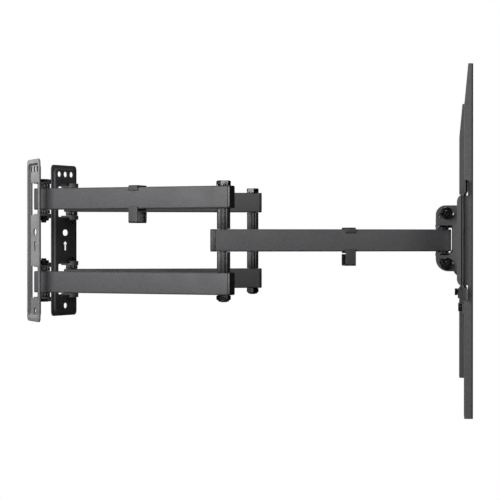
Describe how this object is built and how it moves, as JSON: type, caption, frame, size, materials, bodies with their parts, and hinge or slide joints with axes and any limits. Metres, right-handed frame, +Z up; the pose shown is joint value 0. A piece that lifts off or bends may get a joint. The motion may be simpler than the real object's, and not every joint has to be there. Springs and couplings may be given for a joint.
{
  "type": "full motion TV wall mount",
  "caption": "Black steel full motion TV wall mount with two folding double arms on separate swivelling wall plates, a tilting head, a wide cross plate and two hook-on TV brackets.",
  "frame": {"origin": "on the wall, midway between the two wall plates and level with the second arms", "axes": "+X from the wall towards the television, +Y from the near arms to the far arms, +Z up"},
  "size_m": [0.6223, 0.644, 0.435],
  "materials": {
    "powder_coat": "fine-grained satin black powder coat on steel",
    "black_zinc": "semi-gloss black zinc plating",
    "black_plastic": "satin black moulded plastic"
  },
  "bodies": {
    "wall_near": {"wall_plate_near": "powder_coat", "hinge_bolt_near_upper": "black_zinc", "hinge_nut_near_upper": "black_zinc", "hinge_bolt_near_lower": "black_zinc", "hinge_nut_near_lower": "black_zinc", "hinge_washer_near_upper_outer": "black_plastic", "hinge_washer_near_upper_inner": "black_plastic", "hinge_washer_near_lower_outer": "black_plastic", "hinge_washer_near_lower_inner": "black_plastic"},
    "first_near": {"first_arm_near_upper": "powder_coat", "first_arm_cap_near_upper": "black_plastic", "elbow_spacer_near_upper": "black_plastic", "first_arm_near_lower": "powder_coat", "first_arm_cap_near_lower": "black_plastic", "elbow_spacer_near_lower": "black_plastic", "elbow_bolt_near": "black_zinc", "elbow_nut_near": "black_zinc", "cable_clip_first": "black_plastic"},
    "second_near": {"second_arm_near": "powder_coat", "second_arm_cap_near": "black_plastic", "cable_clip_second": "black_plastic"},
    "wall_far": {"wall_plate_far": "powder_coat", "hinge_bolt_far_upper": "black_zinc", "hinge_nut_far_upper": "black_zinc", "hinge_bolt_far_lower": "black_zinc", "hinge_nut_far_lower": "black_zinc", "hinge_washer_far_upper_outer": "black_plastic", "hinge_washer_far_upper_inner": "black_plastic", "hinge_washer_far_lower_outer": "black_plastic", "hinge_washer_far_lower_inner": "black_plastic"},
    "first_far": {"first_arm_far_upper": "powder_coat", "first_arm_cap_far_upper": "black_plastic", "elbow_spacer_far_upper": "black_plastic", "first_arm_far_lower": "powder_coat", "first_arm_cap_far_lower": "black_plastic", "elbow_spacer_far_lower": "black_plastic", "elbow_bolt_far": "black_zinc", "elbow_nut_far": "black_zinc"},
    "second_far": {"second_arm_far": "powder_coat", "second_arm_cap_far": "black_plastic"},
    "head": {"head_yoke": "powder_coat", "head_bolt_near": "black_zinc", "head_bolt_far": "black_zinc", "head_washer_near_upper": "black_plastic", "head_washer_near_lower": "black_plastic", "head_washer_far_upper": "black_plastic", "head_washer_far_lower": "black_plastic", "tilt_bolt_near_upper": "black_zinc", "tilt_bolt_near_lower": "black_zinc", "tilt_bolt_far_upper": "black_zinc", "tilt_bolt_far_lower": "black_zinc"},
    "tilt": {"tilt_bracket": "powder_coat", "tv_plate": "powder_coat"},
    "bracket_near": {"tv_bracket_near": "powder_coat", "lock_tab_near": "powder_coat", "lock_screw_near": "black_zinc"},
    "bracket_far": {"tv_bracket_far": "powder_coat", "lock_tab_far": "powder_coat", "lock_screw_far": "black_zinc"}
  },
  "joints": [
    {"name": "near_wall_hinge", "type": "hinge", "parent": "wall_near", "child": "first_near", "pos_m": [0.0155, -0.0863, 0], "axis": [0, 0, -1], "range_deg": [-126, 32]},
    {"name": "near_elbow", "type": "hinge", "parent": "first_near", "child": "second_near", "pos_m": [0.2811, -0.1675, 0], "axis": [0, 0, 1], "range_deg": [-32, 120]},
    {"name": "near_head_pivot", "type": "hinge", "parent": "second_near", "child": "head", "pos_m": [0.5709, -0.088, 0], "axis": [0, 0, -1], "range_deg": [-10, 63]},
    {"name": "far_head_pivot", "type": "hinge", "parent": "head", "child": "second_far", "pos_m": [0.5709, 0.088, 0], "axis": [0, 0, -1], "range_deg": [-10, 63]},
    {"name": "far_elbow", "type": "hinge", "parent": "second_far", "child": "first_far", "pos_m": [0.2811, 0.1675, 0], "axis": [0, 0, 1], "range_deg": [-32, 120]},
    {"name": "far_wall_hinge", "type": "hinge", "parent": "first_far", "child": "wall_far", "pos_m": [0.0155, 0.0863, 0], "axis": [0, 0, -1], "range_deg": [-120, 39]},
    {"name": "head_tilt", "type": "hinge", "parent": "head", "child": "tilt", "pos_m": [0.59, 0, 0], "axis": [0, 1, 0], "range_deg": [-6, 5]},
    {"name": "near_bracket_slide", "type": "slide", "parent": "tilt", "child": "bracket_near", "axis": [0, 1, 0], "range_m": [0, 0.2]},
    {"name": "far_bracket_slide", "type": "slide", "parent": "tilt", "child": "bracket_far", "axis": [0, -1, 0], "range_m": [0, 0.2]}
  ]
}
